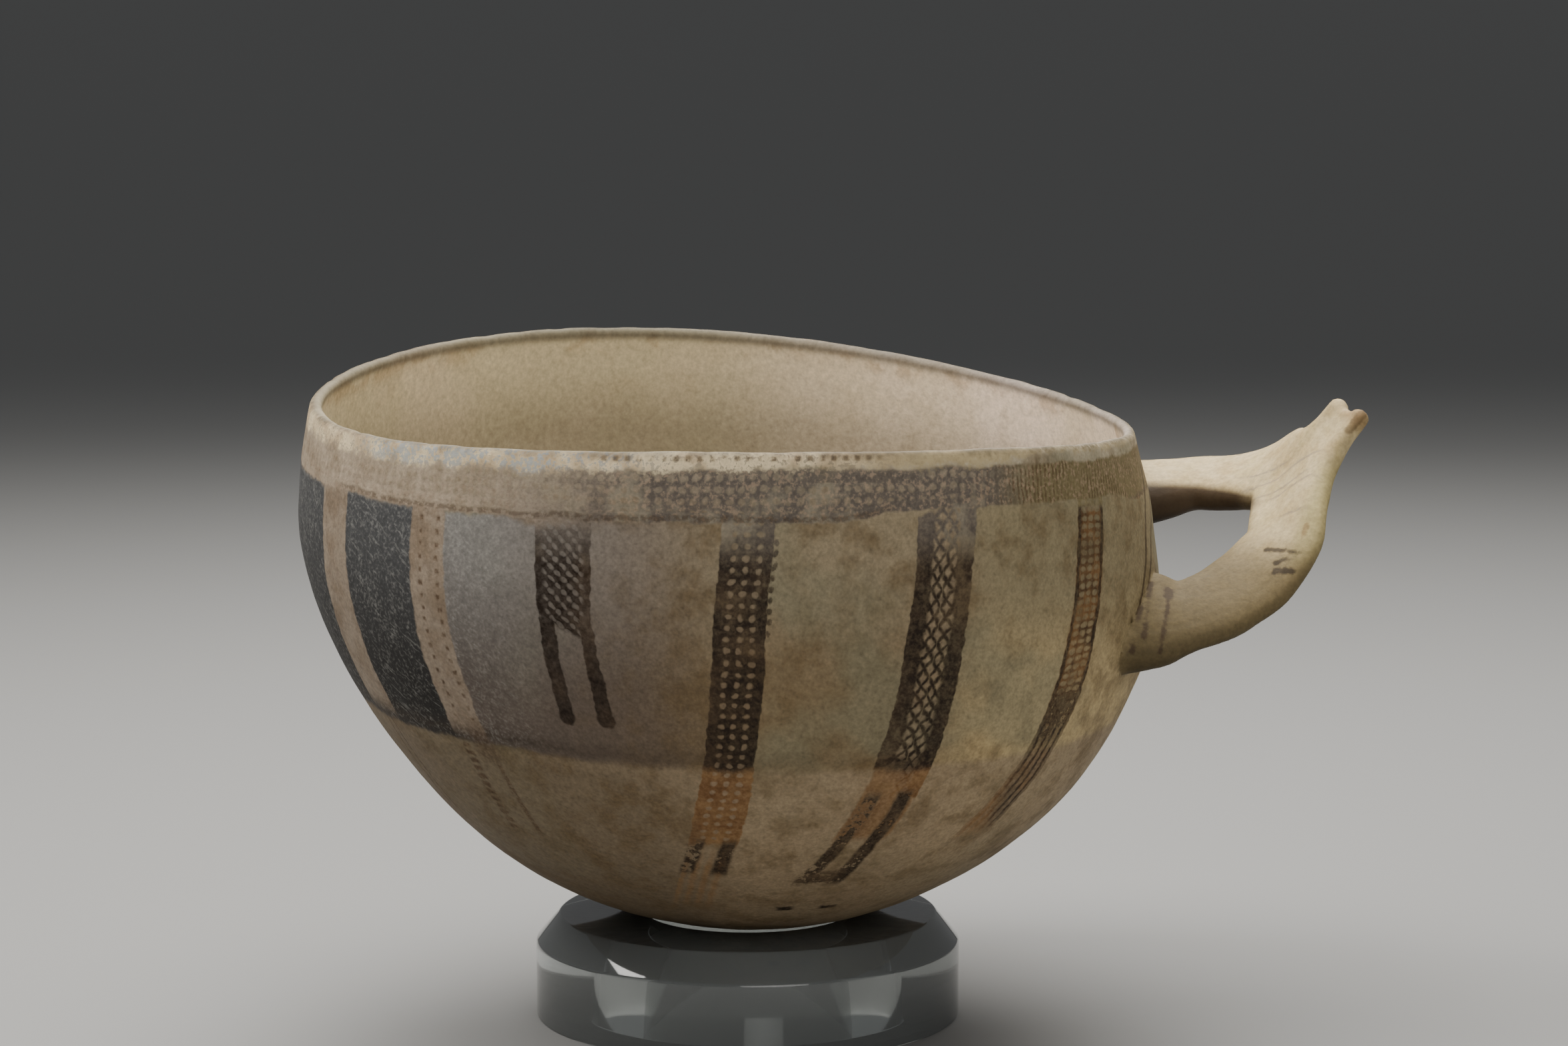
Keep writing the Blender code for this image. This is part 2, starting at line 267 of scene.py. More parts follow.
def strap_sections(side):
    """The rows of points round one strap, from inside the wall to the tip of its prong."""
    rows = []
    for row in range(STRAP_ROWS + TIP_ROWS + 1):
        share = min(row / STRAP_ROWS, 1.0)
        width, thickness, _, _, twist = between(HANDLE_STATIONS, share)[3:]
        flare = BACK_ROOT_FLARE if side > 0 else FRONT_ROOT_FLARE
        flare *= 1 - smooth((share - ROOT_FLARE_FROM) / (ROOT_FLARE_TO - ROOT_FLARE_FROM))
        width += flare
        thickness += flare
        centre, across = strap_centre(side, share)
        path = strap_centre(side, min(share + PATH_STEP, 1.0))[0] - strap_centre(side, share - PATH_STEP)[0]
        path.normalize()
        normal = path.cross(across @ Vector((0, 1, 0)))
        normal = Matrix.Rotation(math.radians(-twist * side), 3, path) @ normal
        wide = normal.cross(path).normalized()
        deep = path.cross(wide).normalized()
        if side > 0:
            fading = smooth((share - EXTRA_FADES_FROM) / (EXTRA_FADES_TO - EXTRA_FADES_FROM))
            extra = BACK_STRAP_EXTRA * (1 - fading)
            thickness += extra
            centre -= deep * (extra / 2)
        else:
            fading = smooth((share - FRONT_EXTRA_FROM) / (FRONT_EXTRA_TO - FRONT_EXTRA_FROM))
            extra = FRONT_STRAP_EXTRA * (1 - fading)
            width += extra
            centre -= wide * (extra / 2)
        rounding = TIP_ROUNDING * max(row - STRAP_ROWS, 0) / TIP_ROWS
        left = math.cos(rounding)
        centre += path * (math.sin(rounding) * thickness / 2)
        rows.append(oval(centre, wide, deep, width * left, thickness * left))
    return rows


def web_sections():
    """The rows of points round the plate between the straps, blunt at both ends."""
    rows = []
    for row in range(-TIP_ROWS, WEB_ROWS + TIP_ROWS + 1):
        along = min(max(row / WEB_ROWS, 0.0), 1.0)
        share = WEB_FROM + (WEB_TO - WEB_FROM) * along
        front_share = share - WEB_SLANT * (1 - along)
        thickness = between(HANDLE_STATIONS, share)[4] * WEB_THICKNESS
        back, front = strap_centre(1, share)[0], strap_centre(-1, front_share)[0]
        after = strap_centre(1, share + PATH_STEP)[0] + strap_centre(-1, front_share + PATH_STEP)[0]
        path = (after - back - front).normalized()
        wide = (back - front).normalized()
        deep = path.cross(wide).normalized()
        rounding = TIP_ROUNDING * max(-row, row - WEB_ROWS, 0) / TIP_ROWS
        outward = -1 if row < 0 else 1
        centre = (back + front) / 2 + path * (outward * math.sin(rounding) * thickness / 2)
        rows.append(oval(centre, wide, deep, (back - front).length, thickness * math.cos(rounding)))
    return rows


handle_shape = bmesh.new()
for rows in (strap_sections(1), strap_sections(-1), web_sections()):
    rings = []
    for points in rows:
        ring_verts = [handle_shape.verts.new(point) for point in points]
        pairs = zip(ring_verts, ring_verts[1:] + ring_verts[:1])
        rings.append([handle_shape.edges.new(pair) for pair in pairs])
    for near, far in zip(rings, rings[1:]):
        bmesh.ops.bridge_loops(handle_shape, edges=near + far)
    bmesh.ops.holes_fill(handle_shape, edges=rings[0] + rings[-1], sides=STRAP_SIDES)
bmesh.ops.recalc_face_normals(handle_shape, faces=handle_shape.faces)
handle = new_object("handle", handle_shape)
fusing = handle.modifiers.new("fusing", "REMESH")
fusing.mode = "VOXEL"
fusing.voxel_size = HANDLE_VOXEL
apply_modifiers(handle)
fused_shape = bmesh.new()
fused_shape.from_mesh(handle.data)
for _ in range(HANDLE_SMOOTHINGS):
    bmesh.ops.smooth_vert(fused_shape, verts=fused_shape.verts, factor=0.5)
for face in fused_shape.faces:
    face.material_index = 1
fused_shape.to_mesh(handle.data)
fused_shape.free()

core_points = inner_section(0.5, INNER_STEPS // 2, UPPER_STEPS // 2)[::-1]
over_rim = RIM_HEIGHT + BOWL_RADIUS
core_shape = spun([(0, over_rim), (core_points[0][0], over_rim)] + core_points, False, CORE_SEGMENTS)
for vertex in core_shape.verts:
    vertex.co = by_hand(vertex.co)
core = new_object("core", core_shape)
for item in (wall, handle):
    for slot_name in ("wall_slot", "handle_slot"):
        item.data.materials.append(bpy.data.materials.new(slot_name))
for item, operation, other in ((handle, "DIFFERENCE", core), (wall, "UNION", handle)):
    joining = item.modifiers.new("joining", "BOOLEAN")
    joining.operation = operation
    joining.object = other
    joining.solver = "EXACT"
    joining.material_mode = "INDEX"
    apply_modifiers(item)
for helper in (handle, core):
    bpy.data.objects.remove(helper)

# The whole bowl
# Wall and handle are one piece of clay. Wet fingers ran the handle's roots into the wall, and
# scraping, drying, burial and handling left the surface faintly faceted, pitted and chipped.
ROOT_SMOOTHINGS = 4
HOLLOW_SIZE, HOLLOW_DEPTH = 0.030, 0.00030
DENT_SIZE, DENT_DEPTH = 0.0085, 0.00011
GRAIN_SIZE, GRAIN_DEPTH = 0.0028, 0.00004
LIP_WEAR_FROM = 0.0022
LIP_WEAR_SIZE, LIP_WEAR_DEPTH = 0.0045, 0.00026
TILT_TO_HANDLE = math.radians(1.84)
TILT_TO_FRONT = math.radians(2.71)
BOWL_OFFSET_X = -0.0019

bowl_shape = bmesh.new()
bowl_shape.from_mesh(wall.data)
on_handle = bowl_shape.verts.layers.float.new("handle")
on_inside = bowl_shape.verts.layers.float.new("inside")
turned = bowl_shape.verts.layers.float_vector.new("turned")
seam = set()
for vertex in bowl_shape.verts:
    kinds = {face.material_index for face in vertex.link_faces}
    vertex[on_handle] = sum(kinds) / max(len(kinds), 1)
    if len(kinds) > 1:
        seam.add(vertex)
for ring_count in ROOT_RINGS:
    near_root = set(seam)
    for _ in range(ring_count):
        near_root |= {edge.other_vert(vertex) for vertex in near_root for edge in vertex.link_edges}
    for _ in range(ROOT_SMOOTHINGS):
        bmesh.ops.smooth_vert(bowl_shape, verts=list(near_root), factor=0.5)
    for vertex in near_root:
        around = [edge.other_vert(vertex)[on_handle] for edge in vertex.link_edges]
        vertex[on_handle] = sum(around) / len(around)
for vertex in bowl_shape.verts:
    place, index, _ = wall_tree.find(vertex.co)
    flat = wall_places[index][1] + (vertex.co - place)
    share = vertex[on_handle]
    vertex[turned] = flat.lerp(vertex.co, share)
    depth_in = outer_radius(min(flat.z, RIM_HEIGHT)) - math.hypot(flat.x, flat.y)
    vertex[on_inside] = smooth(depth_in / RIM_THICKNESS) * (1 - share)
bowl_shape.normal_update()
moves = []
for vertex in bowl_shape.verts:
    spot = vertex.co
    depth = HOLLOW_DEPTH * noise.noise(spot / HOLLOW_SIZE)
    depth += DENT_DEPTH * noise.noise(spot / DENT_SIZE)
    depth += GRAIN_DEPTH * noise.noise(spot / GRAIN_SIZE)
    at_lip = smooth((vertex[turned].z - RIM_HEIGHT + LIP_WEAR_FROM) / LIP_WEAR_FROM) * (1 - vertex[on_handle])
    wear = max(0.0, noise.noise(spot / LIP_WEAR_SIZE) + 0.5 * noise.noise(spot / DENT_SIZE * 3))
    moves.append(vertex.normal * (depth - LIP_WEAR_DEPTH * at_lip * wear))
for vertex, move in zip(bowl_shape.verts, moves):
    vertex.co += move
for face in bowl_shape.faces:
    face.material_index = 0
    face.smooth = True
bmesh.ops.triangulate(bowl_shape, faces=[face for face in bowl_shape.faces if len(face.verts) > 4])

bowl_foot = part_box("wishbone_handle_bowl")[0][2]
ring_low, ring_high = (Vector(corner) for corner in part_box("ring_stand"))
ring_middle = Vector(((ring_low.x + ring_high.x) / 2, (ring_low.y + ring_high.y) / 2, 0))
middle = Matrix.Translation((0, 0, WIDEST_HEIGHT))
leaned = (
    Matrix.Translation(ring_middle + Vector((BOWL_OFFSET_X, 0, 0)))
    @ middle
    @ Matrix.Rotation(TILT_TO_FRONT, 4, "X")
    @ Matrix.Rotation(TILT_TO_HANDLE, 4, "Y")
    @ middle.inverted()
)
lowest = min((leaned @ vertex.co).z for vertex in bowl_shape.verts)
bmesh.ops.transform(
    bowl_shape, matrix=Matrix.Translation((0, 0, bowl_foot - lowest)) @ leaned, verts=bowl_shape.verts,
)
bowl = new_object("painted_bowl", bowl_shape)
bpy.data.objects.remove(wall)


class Field:
    """A number or colour that changes over a surface. Sums on fields add Math nodes."""

    def __init__(self, finish, socket):
        self.finish = finish
        self.socket = socket

    def output(self, index):
        """Another output of the node that this comes from."""
        return Field(self.finish, self.socket.node.outputs[index])

    def math(self, operation, *others):
        sockets = dict(enumerate((self,) + others))
        return self.finish.add("ShaderNodeMath", {"operation": operation}, sockets)

    def __add__(self, other):
        return self.math("ADD", other)

    __radd__ = __add__

    def __mul__(self, other):
        return self.math("MULTIPLY", other)

    __rmul__ = __mul__

    def __sub__(self, other):
        return self.math("SUBTRACT", other)

    def __rsub__(self, other):
        return self.finish.add("ShaderNodeMath", {"operation": "SUBTRACT"}, {0: other, 1: self})

    def __truediv__(self, other):
        return self.math("DIVIDE", other)

    def __abs__(self):
        return self.math("ABSOLUTE")

    def over(self, other):
        """The larger of this and another."""
        return self.math("MAXIMUM", other)

    def rise(self, low, high):
        """Rise smoothly from 0 at low to 1 at high, or fall where low is the larger."""
        settings = {"interpolation_type": "SMOOTHSTEP"}
        return self.finish.add("ShaderNodeMapRange", settings, {0: self, 1: low, 2: high})

    def within(self, half, soft=0.18):
        """1 where this is less than half either side of nothing, and 0 beyond."""
        return abs(self).rise(half + soft, half - soft)

    def between(self, low, high, soft=0.4):
        """1 from low to high, and 0 beyond."""
        return self.rise(low - soft, low + soft) * self.rise(high + soft, high - soft)

    def cell(self, pitch):
        """How far this is from the middle of its cell, in a row of cells of one pitch."""
        return (self / pitch).math("FRACT") * pitch - pitch / 2


class Finish:
    """A material under construction, with one method that adds any node."""

    def __init__(self, name):
        self.material = bpy.data.materials.new(name)
        self.material.use_nodes = True
        self.tree = self.material.node_tree
        self.shader = self.tree.nodes["Principled BSDF"]

    def fill(self, socket, value):
        """Link a field to a socket, or set it to a value. A colour of three numbers is opaque."""
        if isinstance(value, Field):
            self.tree.links.new(value.socket, socket)
        elif socket.type == "RGBA":
            socket.default_value = (*value, 1)
        else:
            socket.default_value = value

    def add(self, kind, settings, sockets, output=0):
        node = self.tree.nodes.new(kind)
        for name, value in settings.items():
            setattr(node, name, value)
        for name, value in sockets.items():
            self.fill(node.inputs[name], value)
        return Field(self, node.outputs[output])

    def mix(self, share, under, over):
        """One colour laid over another by a share."""
        return self.add("ShaderNodeMix", {"data_type": "RGBA"}, {0: share, 6: under, 7: over}, 2)

    def shade(self, colour, brightness):
        """A colour made lighter or darker."""
        return self.add("ShaderNodeVectorMath", {"operation": "SCALE"}, {0: colour, "Scale": brightness})

    def noise(self, place, size, detail=2.0, roughness=0.5):
        """Cloudy noise round a half, with lumps of about a size, in the units of the place."""
        sockets = {"Vector": place, "Scale": 1 / size, "Detail": detail, "Roughness": roughness}
        return self.add("ShaderNodeTexNoise", {}, sockets)

    def set(self, **values):
        """Fill the shader's own sockets."""
        for name, value in values.items():
            self.fill(self.shader.inputs[name.replace("_", " ")], value)


# The slip and the paint
# A cream slip over the pale clay, faintly burnished, clouded grey by the fire on one side, with a
# thin iron paint over it that fired dark brown above, orange below and tan inside the cloud.
SLIP_UNDER_RIM, SLIP_BELLY = (0.260, 0.207, 0.127), (0.19, 0.135, 0.070)
SLIP_BY_HANDLE, SLIP_BELLY_BY_HANDLE = (0.238, 0.194, 0.110), (0.45, 0.340, 0.170)
SLIP_BY_CLOUD, SLIP_BELLY_BY_CLOUD = (0.195, 0.153, 0.112), (0.128, 0.092, 0.060)
SLIP_BELOW, SLIP_BASE, SLIP_RIM = (0.30, 0.225, 0.137), (0.20, 0.145, 0.085), (0.38, 0.325, 0.225)
STAIN, GREENISH = (0.12, 0.078, 0.034), (0.20, 0.185, 0.115)
CLOUD_TOP, CLOUD_FOOT = (0.062, 0.063, 0.064), (0.012, 0.0105, 0.0090)
THIN_CLOUD_TOP, THIN_CLOUD_FOOT = (0.215, 0.205, 0.190), (0.120, 0.095, 0.078)
STREAK, ASH = (0.040, 0.027, 0.016), (0.34, 0.33, 0.30)
TAN_PALE, TAN_DEEP = (0.300, 0.238, 0.176), (0.220, 0.164, 0.112)
# The darker brown of the paint is also laid as painted shadow under the back strap.
PAINT_DARK, PAINT_AND_SHADOW_BROWN = (0.018, 0.010, 0.005), (0.050, 0.030, 0.016)
PAINT_GREY, PAINT_WORN = (0.116, 0.096, 0.078), (0.270, 0.235, 0.170)
PAINT_ORANGE, PAINT_OCHRE = (0.14, 0.066, 0.024), (0.23, 0.125, 0.050)
PAINT_UMBER, PAINT_RUST, PAINT_OLIVE = (0.070, 0.035, 0.013), (0.165, 0.080, 0.028), (0.175, 0.138, 0.066)
BARE_DOT = (0.29, 0.205, 0.135)
LIP_CREAM, LIP_TAN = (0.52, 0.43, 0.275), (0.36, 0.275, 0.17)
LIP_BLUE, LIP_OLIVE = (0.23, 0.245, 0.24), (0.27, 0.215, 0.118)
INSIDE_OLIVE, INSIDE_PINK, INSIDE_CREAM = (0.52, 0.455, 0.30), (0.80, 0.67, 0.56), (0.60, 0.51, 0.36)
INSIDE_STAIN, INSIDE_RUST = (0.38, 0.31, 0.20), (0.27, 0.165, 0.075)
CREAM, CREAM_DEEP, CREAM_YELLOW = (0.52, 0.415, 0.235), (0.43, 0.325, 0.165), (0.38, 0.295, 0.125)
CREAM_STROKE, CREAM_ROOT, CREAM_EDGE = (0.20, 0.165, 0.130), (0.150, 0.112, 0.052), (0.33, 0.275, 0.12)

# Angles are degrees round the bowl from its handle, with the shown side from 0 to -180, and depths
# are millimetres down the wall from the rim.
MILLIMETRES = 1000.0
WALL_CURVE_RADIUS = 87.0
RIM_MM_PER_DEGREE = 1.53
BAND_TURN_DEPTH = 12.0
RIM_BAND_FOOT, RIM_BAND_RISE = 12.3, 2.1
CENTRE_BAND_AT, NET_BAND_AT, RIGHT_BAND_AT = -86.5, -60.4, -34.3
PENDANT_AT = -109.9
STRIP_ONE_AT, STRIP_TWO_AT = -130.1, -151.2
CLOUD_FOOT_DEPTH = 59.4
CLOUD_ENDS = (-236.0, -212.0)
clay = Finish("painted_slip")
turned_place = clay.add("ShaderNodeAttribute", {"attribute_name": "turned"}, {}, 1)
place = clay.add("ShaderNodeVectorMath", {"operation": "SCALE"}, {0: turned_place, "Scale": MILLIMETRES})
inside = clay.add("ShaderNodeAttribute", {"attribute_name": "inside"}, {}, 2)
handle_part = clay.add("ShaderNodeAttribute", {"attribute_name": "handle"}, {}, 2)
x = clay.add("ShaderNodeSeparateXYZ", {}, {0: place})
y, z = x.output(1), x.output(2)
radius = (x * x + y * y).math("SQRT")
angle = y.math("ARCTAN2", x) * math.degrees(1)
sunk = (1 - z / (WIDEST_HEIGHT * MILLIMETRES)).math("MINIMUM", 1.0).math("ARCSINE")
sunk = sunk * WALL_CURVE_RADIUS + (RIM_HEIGHT - WIDEST_HEIGHT) * MILLIMETRES
hidden_side = y.rise(-25.0, 35.0)

broad = clay.noise(place, 32.0, 3.0)
mottle = clay.noise(place, 7.0, 4.0, 0.6)
speck = clay.noise(place, 1.25, 3.0, 0.6)
fleck = clay.noise(place, 0.6, 2.0)
patchy = clay.noise(place, 11.0, 4.0, 0.62)
wander = clay.noise(place, 9.0, 2.0).output(1)
wander = clay.add("ShaderNodeSeparateColor", {}, {0: wander})
shaky = clay.noise(place, 1.7, 1.0).output(1)
shaky = clay.add("ShaderNodeSeparateColor", {}, {0: shaky})

folded = (wander - 0.5) * 0.9 + (shaky - 0.5) * 0.6 - abs(angle)
depth = sunk + (wander.output(1) - 0.5) * 1.5 + (shaky.output(1) - 0.5) * 0.9
beyond = (depth - BAND_TURN_DEPTH).over(0.0)
around = angle - angle.math("GREATER_THAN", 0.0) * 360.0


def band_line(start, slope, bend):
    """How far a point is from a band's middle line, in millimetres. The line starts at an angle
    under the rim and swings with depth."""
    line = beyond * beyond * bend + beyond * slope + start
    return (folded - line) * radius * math.radians(1)


def dots(across, along, column, row, wide, tall):
    """Round dots left bare in the paint, in columns and rows."""
    sideways = across.cell(column) / (wide / 2)
    upright = along.cell(row) / (tall / 2)
    return (sideways * sideways + upright * upright + speck * 3.2 - 1.6).rise(2.2, 0.3)


# The band under the rim: rows of bare dots, thin upright strokes nearer the handle.
rim_along = folded * RIM_MM_PER_DEGREE
rim_foot = RIM_BAND_FOOT - folded.rise(-75, -67) * folded.rise(-18, -28) * RIM_BAND_RISE
rim_band = depth.rise(2.2, 3.0) * (rim_foot - depth).rise(-0.3, 0.4)
rim_dots = dots(rim_along, depth - 0.7, 2.25, 2.2, 1.2, 1.1) * (rim_foot - depth).rise(1.7, 2.2)
rim_dots = rim_dots * (0.2 + mottle * 0.8) * folded.rise(-48, -60)
rim_solid = folded.between(-80, -64, 1.5) * depth.rise(5.2, 4.6)
rim_dots = rim_dots * (1 - rim_solid)
rim_strokes = rim_along.cell(1.15).within(0.22, 0.28) * folded.rise(-60, -50) * rim_band
rim_paint = rim_band * (1 - rim_dots)
rim_line = (depth - rim_foot + 0.7).within(0.55, 0.35) * folded.between(-150, -70, 4.0)

# The band in the middle of the shown side, dotted, with beads down one edge and two worn tails.
centre_across = band_line(CENTRE_BAND_AT, -0.03, -0.0012)
centre_beads = dots(centre_across - 4.25, depth, 2.2, 2.1, 1.1, 1.1) * (centre_across - 5.3).within(0.7)
centre_beads = centre_beads * depth.between(15, 34) * 0.8
centre_dots = dots(centre_across + 1.2, depth, 2.4, 2.2, 1.05, 1.0) * centre_across.within(3.55) * 0.75
centre_band = centre_across.within(4.95) * depth.rise(11.0, 12.0) * depth.rise(84, 81)
centre_ends = (abs(centre_across) - 3.2).within(1.5, 0.5) * depth.between(81, 93, 1.5)
centre_ends = centre_ends * (mottle + speck).rise(0.84, 0.98)
centre_trace = (centre_across + 0.4).cell(2.3).within(0.6, 0.5) * centre_across.within(4.3)
centre_trace = centre_trace * depth.between(86, 108, 5.0)
centre_paint = (centre_band * (1 - centre_dots)).over(centre_beads).over(centre_ends)

# The next band towards the handle: a net between two solid edges, and two tails that meet.
net_across = band_line(NET_BAND_AT, -0.03, -0.0017)
net_slant = net_across + (wander - 0.5) * 2
net_lattice = (net_slant + depth * 0.8).cell(2.7).within(0.5, 0.35)
net_lattice = net_lattice.over((net_slant - depth * 0.8).cell(2.7).within(0.5, 0.35))
net_dots = (1 - net_lattice) * net_across.within(2.9, 0.5) * (0.35 + speck * 0.9)
net_left = (net_across + 3.2).within(3.2) * (depth + net_across * 0.3).between(9.5, 60.0)
net_right = (net_across - 3.2).within(3.2) * depth.between(9.5, 70.0, 0.6)
net_tail = (abs(net_across) - 3.4).within(1.7, 0.5) * depth.between(68.0, 97.0, 1.5)
net_tail = net_tail.over(net_across.within(2.6, 0.8) * (depth - 94.0).within(2.2, 1.0))
net_tail = net_tail * (mottle + speck * 1.2 + net_across * 0.012).rise(0.92, 1.06)
net_foot = (abs(folded + 74.0) - 6.0 + mottle * 2).within(1.9, 0.8)
net_foot = net_foot * (depth - 111.0 + patchy * 4).within(1.2, 0.6)
net_tail = net_tail.over(net_foot)
net_smear = net_across.within(5.8, 0.4) * depth.between(59.0, 81.0, 1.5) * 0.8
net_paint = (net_left.over(net_right) * (1 - net_dots)).over(net_tail).over(net_smear)

# The narrow band by the handle, which thins out into a few lines.
right_across = band_line(RIGHT_BAND_AT, 0.0, -0.0028)
right_dots = dots(right_across + 1.25, depth, 2.5, 1.65, 1.8, 1.0) * right_across.within(3.6)
right_dots = right_dots * depth.rise(60, 52)
right_lines = right_across.cell(2.3).within(0.45, 0.3) * right_across.within(4.6) * depth.rise(48, 56)
right_band = right_across.within(4.9) * depth.rise(9.0, 10.0) * (depth + mottle * 8).rise(92, 82)
right_paint = right_band * (1 - right_dots * 0.7) * (1 - depth.rise(50, 62) * (1 - right_lines) * 0.4)
right_patch = right_across.within(4.2, 0.8) * depth.between(48, 61, 3.0) * (mottle + speck).rise(0.86, 1.02)
right_paint = right_paint.over(right_patch)
right_edges = (abs(right_across) - 4.3).within(0.5, 0.3).over(right_patch).over(right_lines) * right_band


def pendant(start, slope, bend):
    """A short hanging panel with a netted middle, which ends in two legs."""
    across = band_line(start, slope, bend)
    bare = dots(across + depth, across - depth, 2.5, 2.5, 1.9, 1.1) * across.within(4.0, 0.6) * 0.75
    panel = across.within(5.6) * (depth - across * 0.5).rise(34.5, 33.0) * depth.rise(9.0, 10.0)
    legs = (abs(across) - 4.1).within(1.5) * depth.between(31.0, 51.5, 0.8)
    feet = (abs(across) - 4.1) * (abs(across) - 4.1) + (depth - 51.8) * (depth - 51.8)
    panel = panel * (1 - bare) * (0.75 + mottle * 0.5)
    legs = legs * (0.65 + mottle * 0.6)
    return panel.over(legs).over(feet.rise(4.2, 2.2))


left_pendant = pendant(PENDANT_AT, 0.018, 0.0)

shaky_edge = (speck - 0.5) * 0.9


def stroke(start, end, half):
    """A thin brush stroke between two places on the upright bowl."""
    vector_math = "ShaderNodeVectorMath"
    run = Vector(end) - Vector(start)
    offset = clay.add(vector_math, {"operation": "SUBTRACT"}, {0: place, 1: start})
    along = clay.add(vector_math, {"operation": "DOT_PRODUCT"}, {0: offset, 1: run / run.length_squared}, 1)
    share = clay.add("ShaderNodeClamp", {}, {0: along})
    nearest = clay.add(vector_math, {"operation": "SCALE"}, {0: run, "Scale": share})
    gap = clay.add(vector_math, {"operation": "DISTANCE"}, {0: offset, 1: nearest}, 1)
    return (gap + shaky_edge).rise(half + 0.35, half - 0.25)


# Brushed lines over the front root: each half width in millimetres, and the places it runs through.
ROOT_LINES = (
    (0.9, ((88.0, -24.2, 77.6), (87.8, -26.4, 76.2))),
    (0.6, (
        (86.1, -12.9, 102.9), (85.1, -21.0, 93.6), (84.8, -24.0, 83.7),
        (82.1, -29.3, 75.4), (80.0, -36.4, 67.0),
    )),
    (0.6, ((87.3, -8.4, 96.2), (86.6, -16.1, 88.3), (84.4, -22.8, 78.4), (82.5, -35.4, 69.9))),
    (0.4, ((88.0, -23.8, 77.5), (87.4, -29.7, 74.6), (86.2, -35.0, 70.6), (85.6, -36.5, 67.0))),
)
root_lines = 0.0
for half, points in ROOT_LINES:
    for start, end in zip(points, points[1:]):
        root_lines = stroke(start, end, half).over(root_lines)

# Two tan strips that the fire cloud spared, with rows of dots and the tails of their paint.
strip_one = band_line(STRIP_ONE_AT, 0.0, 0.0)
strip_two = band_line(STRIP_TWO_AT, 0.0, 0.0)
strips = strip_one.within(4.6, 0.3).over(strip_two.within(5.8, 0.3)) * depth.rise(62, 56) * depth.rise(9, 11)
strip_dots = (strip_one - 2.9).within(0.45, 0.25).over((strip_one + 1.6).within(0.4, 0.25))
strip_dots = strip_dots * depth.cell(2.6).within(0.45, 0.3) * depth.between(13, 56)
tail_lines = (strip_one - 4.2).within(0.6, 0.4) * speck.rise(0.38, 0.52)
tail_lines = tail_lines.over((strip_one + 2.6).within(1.1, 0.4) * depth.cell(2.0).within(0.6, 0.35))
tail_lines = tail_lines.over((abs(strip_two) - 1.3).within(0.3, 0.25)) * depth.between(62, 86, 2.0)
tail_smudge = (strip_one - 2.6).within(2.6, 1.2) * depth.between(57, 66, 2.5)

paint = rim_paint.over(centre_paint).over(net_paint).over(right_paint).over(left_pendant)
bare_dots = (rim_dots * rim_band).over(centre_dots * centre_band).over(net_dots * net_left.over(net_right))

# The fire cloud, which starts under the rim band and stops at a sharp foot with a dark streak.
cloud_rim = depth + (mottle - 0.5) * 4
cloud_end = around.rise(*CLOUD_ENDS)
cloud_front = around.rise(-112.0, -130.0) * cloud_end
cloud_thin = around.rise(-90.0, -126.0) * cloud_end
cloud_in = cloud_rim.between(12.6, 61.5, 0.8)
cloud_streak = cloud_thin.over(around.rise(-64.0, -100.0) * 0.5)
cloud_streak = cloud_streak * (cloud_rim - CLOUD_FOOT_DEPTH).within(1.2, 3.2)

# The slip from the rim down, then its stains, and the cloud laid over it.
slip = clay.mix(depth.rise(16, 50), SLIP_UNDER_RIM, SLIP_BELLY)
by_handle = clay.mix(depth.rise(24, 54), SLIP_BY_HANDLE, SLIP_BELLY_BY_HANDLE)
slip = clay.mix(angle.rise(-68, -48) * (1 - hidden_side), slip, by_handle)
by_cloud = clay.mix(depth.rise(22, 46), SLIP_BY_CLOUD, SLIP_BELLY_BY_CLOUD)
slip = clay.mix(around.rise(-86, -104) * cloud_end, slip, by_cloud)
slip = clay.mix(depth.rise(60.5, 63.0) * 0.85, slip, SLIP_BELOW)
# Painted shade: the slip darkens towards the base under the belly.
slip = clay.mix(depth.rise(80, 112) * 0.6, slip, SLIP_BASE)
slip = clay.mix(depth.rise(12, 2), slip, SLIP_RIM)
slip = clay.shade(slip, 1 - folded.rise(-86, -108) * depth.rise(58, 66) * 0.36)
slip = clay.mix(mottle.rise(0.46, 0.70) * 0.55, slip, STAIN)
slip = clay.mix(patchy.rise(0.50, 0.68) * 0.55, slip, STAIN)
slip = clay.mix(broad.rise(0.50, 0.64) * (0.55 - depth.rise(58, 64) * 0.45), slip, GREENISH)
dark_cloud = clay.mix(depth.rise(14, 58), CLOUD_TOP, CLOUD_FOOT)
thin_cloud = clay.mix(depth.rise(14, 56), THIN_CLOUD_TOP, THIN_CLOUD_FOOT)
thin_cloud = clay.shade(thin_cloud, 0.55 + mottle * 0.5 + patchy * 0.4)
slip = clay.mix(cloud_thin * cloud_in * 0.9, slip, thin_cloud)
slip = clay.mix(cloud_front * cloud_in * strip_one.rise(3.0, -4.0) * 0.95, slip, dark_cloud)
slip = clay.mix(cloud_streak * 0.85, slip, STREAK)
cloud_flecks = (fleck + speck * 0.5 + mottle * 0.5 - 0.5).rise(0.46, 0.80) * cloud_front * cloud_in
scratch_place = clay.add(
    "ShaderNodeCombineXYZ", {}, {0: (depth + folded) * 0.25, 1: (depth - folded) * 1.3, 2: z * 0.05},
)
scratched = clay.noise(scratch_place, 1.0, 3.0).rise(0.58, 0.72) * cloud_front * cloud_in
slip = clay.mix(cloud_flecks * 0.28, slip, ASH)
slip = clay.mix(scratched * 0.30, slip, ASH)
tan = clay.mix(mottle.rise(0.35, 0.65), TAN_PALE, TAN_DEEP)
slip = clay.mix(strips * cloud_thin.rise(0.2, 0.6), slip, tan)

